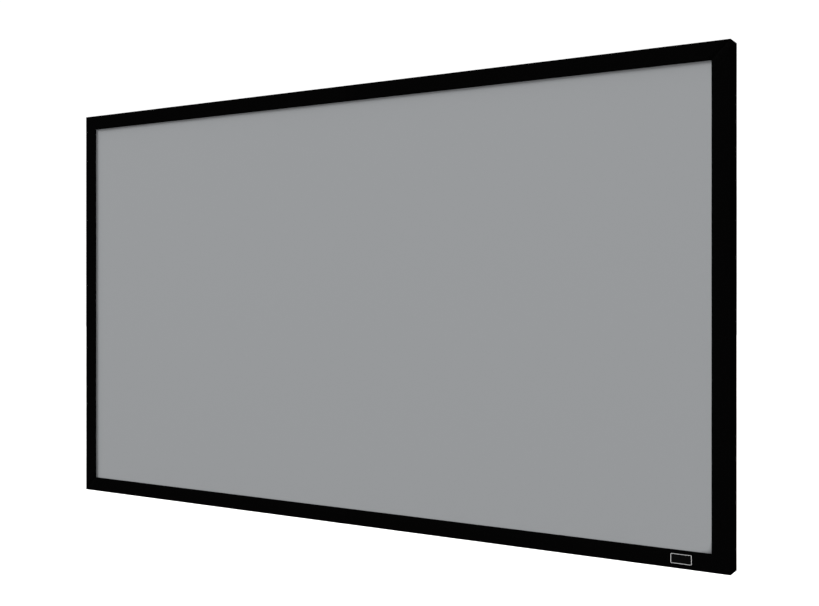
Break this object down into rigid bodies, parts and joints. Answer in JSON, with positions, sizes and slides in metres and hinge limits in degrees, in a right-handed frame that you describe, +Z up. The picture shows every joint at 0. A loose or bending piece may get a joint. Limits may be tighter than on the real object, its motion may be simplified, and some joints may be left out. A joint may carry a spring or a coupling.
{
  "type": "fixed frame projector screen",
  "caption": "Wide fixed frame projection screen: grey fabric sprung tight in a velvet-covered aluminium frame that hangs on steel wall brackets.",
  "frame": {"origin": "the middle of the top centre wall bracket's back face, on the wall, between its two slots", "axes": "+X to the right as the viewer sees the screen, +Y into the wall, +Z up"},
  "size_m": [2.888, 0.0768, 1.677],
  "materials": {
    "velvet": "short-pile black velvet, glued round the rail",
    "anodised_aluminium": "clear anodised extrusion with fine lines along its length",
    "projection_fabric": "matt grey coated projection fabric with a very fine grain",
    "zinc_steel": "bright zinc-plated steel",
    "black_steel": "black powder coat on the brackets and feet, black oxide on the set screws",
    "spring_steel": "nickel-plated spring wire and drawn rod",
    "badge_metal": "polished rim round a satin black field"
  },
  "bodies": {
    "root": {"badge_plate": "badge_metal", "bar_foot_bottom": "black_steel", "bar_foot_top": "black_steel", "corner_plate_bottom_left": "zinc_steel", "corner_plate_bottom_right": "zinc_steel", "corner_plate_top_left": "zinc_steel", "corner_plate_top_right": "zinc_steel", "foot_screw_bottom_bar": "zinc_steel", "foot_screw_bottom_rail": "zinc_steel", "foot_screw_top_bar": "zinc_steel", "foot_screw_top_rail": "zinc_steel", "projection_fabric": "projection_fabric", "rail_bottom_left": "anodised_aluminium", "rail_bottom_right": "anodised_aluminium", "rail_left": "anodised_aluminium", "rail_right": "anodised_aluminium", "rail_top_left": "anodised_aluminium", "rail_top_right": "anodised_aluminium", "set_screw_bottom_left_a1": "black_steel", "set_screw_bottom_left_a2": "black_steel", "set_screw_bottom_left_b1": "black_steel", "set_screw_bottom_left_b2": "black_steel", "set_screw_bottom_right_a1": "black_steel", "set_screw_bottom_right_a2": "black_steel", "set_screw_bottom_right_b1": "black_steel", "set_screw_bottom_right_b2": "black_steel", "set_screw_splice_bottom_1": "black_steel", "set_screw_splice_bottom_2": "black_steel", "set_screw_splice_bottom_3": "black_steel", "set_screw_splice_bottom_4": "black_steel", "set_screw_splice_top_1": "black_steel", "set_screw_splice_top_2": "black_steel", "set_screw_splice_top_3": "black_steel", "set_screw_splice_top_4": "black_steel", "set_screw_top_left_a1": "black_steel", "set_screw_top_left_a2": "black_steel", "set_screw_top_left_b1": "black_steel", "set_screw_top_left_b2": "black_steel", "set_screw_top_right_a1": "black_steel", "set_screw_top_right_a2": "black_steel", "set_screw_top_right_b1": "black_steel", "set_screw_top_right_b2": "black_steel", "splice_plate_bottom": "zinc_steel", "splice_plate_top": "zinc_steel", "support_bar": "anodised_aluminium", "tension_rod_bottom": "spring_steel", "tension_rod_left": "spring_steel", "tension_rod_right": "spring_steel", "tension_rod_top": "spring_steel", "velvet_bottom_left": "velvet", "velvet_bottom_right": "velvet", "velvet_left": "velvet", "velvet_right": "velvet", "velvet_top_left": "velvet", "velvet_top_right": "velvet", "wall_bracket_bottom_left": "black_steel", "wall_bracket_bottom_right": "black_steel", "wall_bracket_top_center": "black_steel", "wall_bracket_top_left": "black_steel", "wall_bracket_top_right": "black_steel"}
  },
  "joints": []
}
